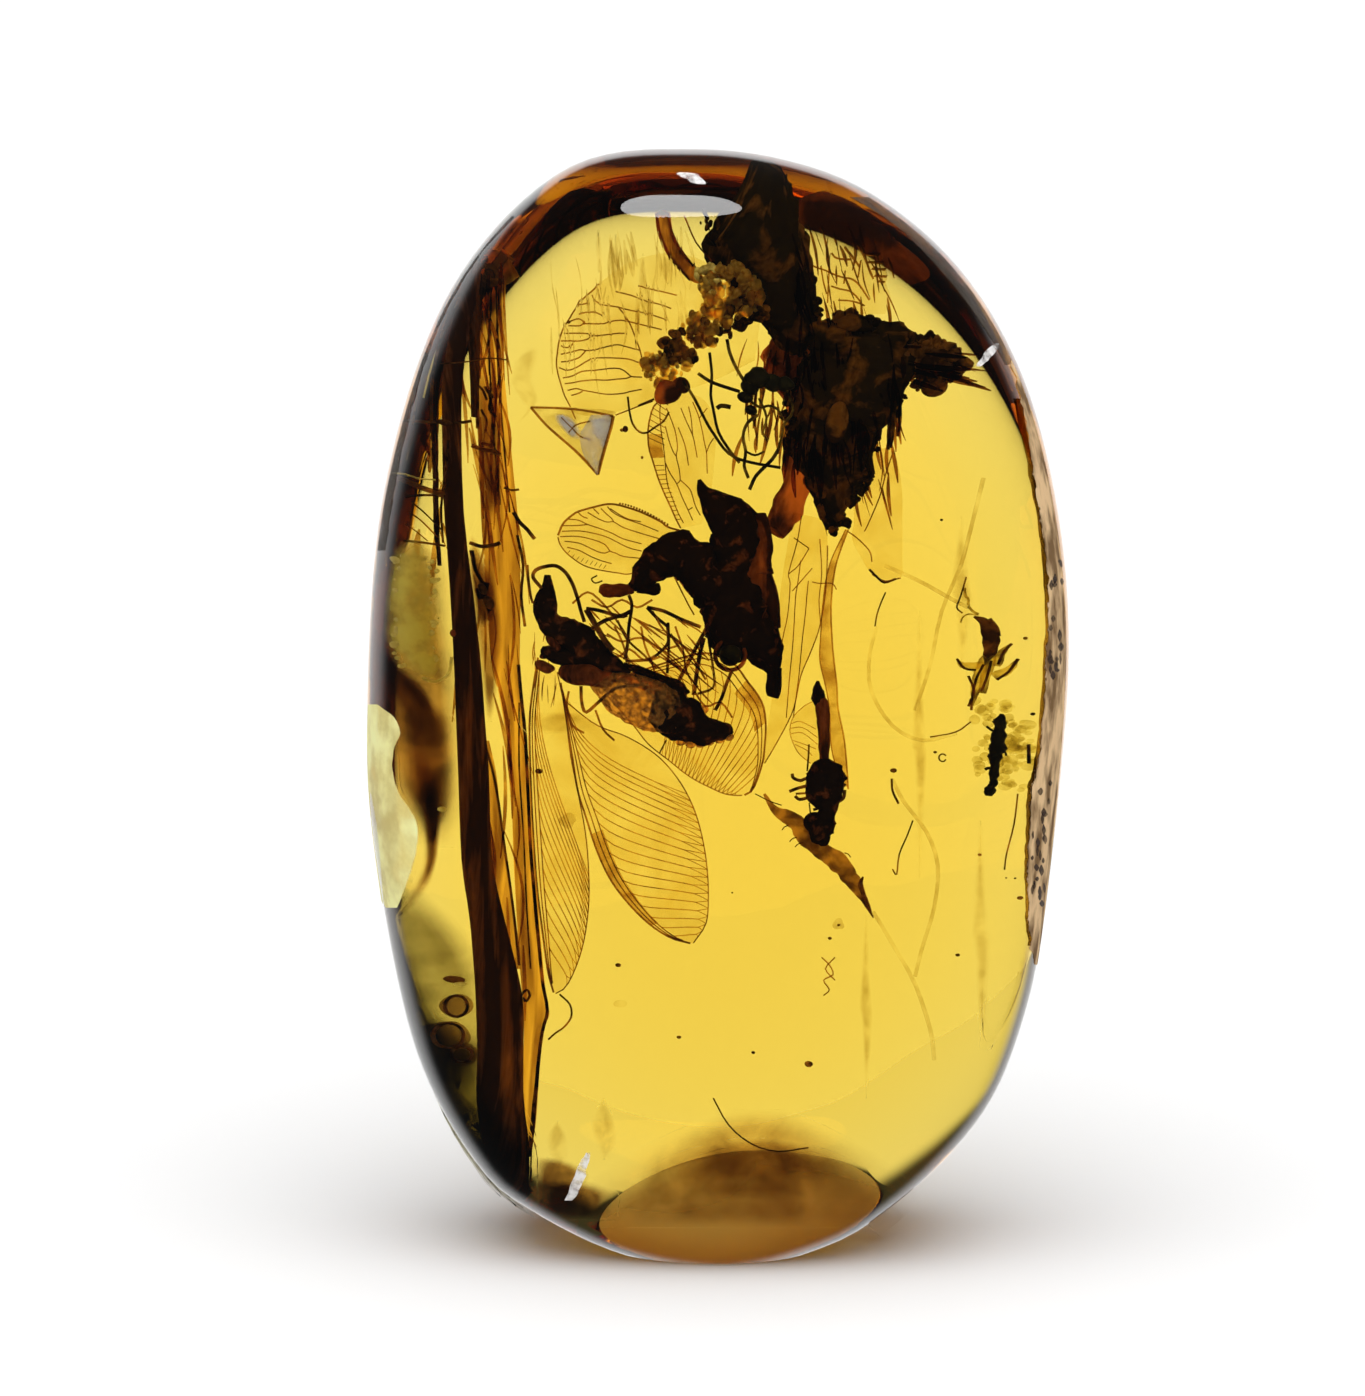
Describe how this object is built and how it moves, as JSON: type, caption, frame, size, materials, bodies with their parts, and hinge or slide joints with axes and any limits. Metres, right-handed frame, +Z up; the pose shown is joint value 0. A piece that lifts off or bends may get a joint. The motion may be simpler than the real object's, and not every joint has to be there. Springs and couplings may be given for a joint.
{
  "type": "insect in amber",
  "caption": "Upright polished oval pebble of clear golden amber with sealed lacewings, small insects, plant stems and bark.",
  "frame": {"origin": "on the surface that the pebble stands on, at the middle of its width and depth", "axes": "+Z up along the pebble's long way, -Y out of the front face that the picture shows, +X to the right in that view"},
  "size_m": [0.0184, 0.0103, 0.029],
  "materials": {
    "amber": "clear golden amber, polished",
    "insect": "dark brown insect body with see-through veined wings",
    "stem_dark": "dark brown streaked plant stem",
    "stem_pale": "orange see-through plant stem",
    "bark": "black-brown rough bark",
    "crumb": "golden-brown grainy crumb",
    "leaf": "thin brown leaf or husk"
  },
  "bodies": {
    "root": {"amber_front": "amber", "amber_back": "amber", "stem_dark": "stem_dark", "stem_pale": "stem_pale", "needle": "stem_pale", "lacewing_left": "insect", "lacewing_centre": "insect", "lacewing_top": "insect", "gnat_right": "insect", "beetle_small": "insect", "ant_top": "insect", "bark_black": "bark", "bark_dark": "bark", "crumb": "crumb", "leaf_scrap": "leaf", "seed_husk": "leaf"}
  },
  "joints": []
}
